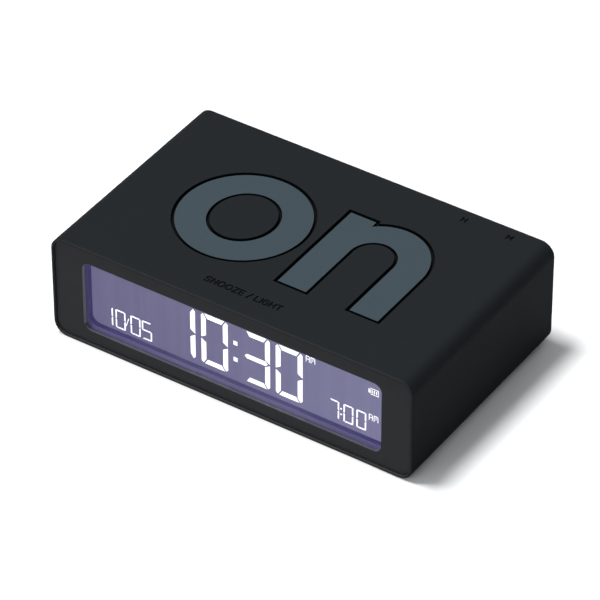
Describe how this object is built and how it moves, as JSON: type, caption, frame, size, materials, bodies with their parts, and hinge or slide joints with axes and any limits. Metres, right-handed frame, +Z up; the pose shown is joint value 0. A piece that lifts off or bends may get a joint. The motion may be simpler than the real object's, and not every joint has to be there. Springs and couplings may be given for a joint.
{
  "type": "travel alarm clock",
  "caption": "Flat battery travel alarm clock: a dark sleeve turned over to switch the alarm, with large let-in letters, a backlit display behind a window and buttons at the rear.",
  "frame": {"origin": "centre of the footprint, on the face that the clock rests on", "axes": "+X along the width to the right of the display, +Y from the display to the rear, +Z up"},
  "size_m": [0.083, 0.0512, 0.0238],
  "materials": {
    "casing": "soft-touch rubberised, fine grain",
    "letter_pad": "soft-touch, slate",
    "bezel": "fine spark-eroded grain",
    "cover": "fine spark-eroded grain",
    "button": "moulded silicone",
    "inner_plastic": "as moulded",
    "spacer": "satin violet",
    "lens": "clear acrylic",
    "film": "polarising film",
    "lcd_glass": "thin display glass",
    "light_guide": "frosted acrylic",
    "white_film": "white film",
    "tape": "black foam tape",
    "zebra": "layered conductive silicone",
    "board": "green solder mask",
    "chip_black": "black epoxy",
    "ceramic_part": "fired ceramic",
    "led_white": "white package",
    "steel": "zinc-plated",
    "nickel": "nickel-plated strip",
    "screw": "black zinc",
    "brass": "rolled brass",
    "piezo": "silvered ceramic",
    "aluminium_can": "drawn can",
    "cell_wrap": "printed sleeve",
    "wire_red": "PVC insulation",
    "wire_black": "PVC insulation",
    "ribbon": "polyimide"
  },
  "bodies": {
    "casing": {"sleeve": "casing", "front_bezel": "bezel", "rear_cover": "cover", "inlay_on_o": "letter_pad", "inlay_on_n": "letter_pad", "inlay_off_o": "letter_pad", "inlay_off_f1": "letter_pad", "inlay_off_f2": "letter_pad", "lens_tape": "tape", "display_lens": "lens", "display_spacer": "spacer", "polariser_front": "film", "polariser_rear": "film", "lcd_glass_front": "lcd_glass", "lcd_glass_rear": "lcd_glass", "light_guide": "light_guide", "reflector_sheet": "white_film", "backlight_leds": "led_white", "zebra_strips": "zebra", "lcd_holder": "inner_plastic", "chassis": "inner_plastic", "main_board": "board", "button_board": "board", "board_screws": "steel", "rear_cover_screws": "screw", "clock_chip": "chip_black", "quartz_crystal": "aluminium_can", "chip_capacitors": "ceramic_part", "chip_resistors": "chip_black", "reservoir_capacitor": "aluminium_can", "tilt_can": "nickel", "tilt_base": "chip_black", "buzzer_plate": "brass", "buzzer_ceramic": "piezo", "buzzer_wires": "wire_red", "touch_plates": "nickel", "touch_contacts": "nickel", "cell_front": "cell_wrap", "cell_rear": "cell_wrap", "contact_bridge": "nickel", "contact_positive": "nickel", "contact_negative": "nickel", "contact_springs": "nickel", "wire_positive": "wire_red", "wire_negative": "wire_black", "switch_housings": "chip_black", "ribbon_cable": "ribbon", "snap_dome_hour": "nickel", "snap_dome_minute": "nickel", "snap_dome_set": "nickel"},
    "battery_door": {"battery_door": "cover"},
    "tilt_ball": {"tilt_ball": "steel"},
    "button_hour": {"button_hour": "button", "plunger_hour": "inner_plastic"},
    "button_minute": {"button_minute": "button", "plunger_minute": "inner_plastic"},
    "button_set": {"button_set": "button", "plunger_set": "inner_plastic"}
  },
  "joints": [
    {"name": "battery_door_hinge", "type": "hinge", "parent": "casing", "child": "battery_door", "pos_m": [-0.0381, 0.0252, 0.0119], "axis": [0, 0, 1], "range_deg": [0, 80]},
    {"name": "tilt_ball_roll", "type": "slide", "parent": "casing", "child": "tilt_ball", "axis": [0, 0, 1], "range_m": [0, 0.00255]},
    {"name": "button_hour_press", "type": "slide", "parent": "casing", "child": "button_hour", "axis": [0, -1, 0], "range_m": [0, 0.0006], "stiffness_N_per_m": 800},
    {"name": "button_minute_press", "type": "slide", "parent": "casing", "child": "button_minute", "axis": [0, -1, 0], "range_m": [0, 0.0006], "stiffness_N_per_m": 800},
    {"name": "button_set_press", "type": "slide", "parent": "casing", "child": "button_set", "axis": [0, -1, 0], "range_m": [0, 0.0006], "stiffness_N_per_m": 800}
  ]
}
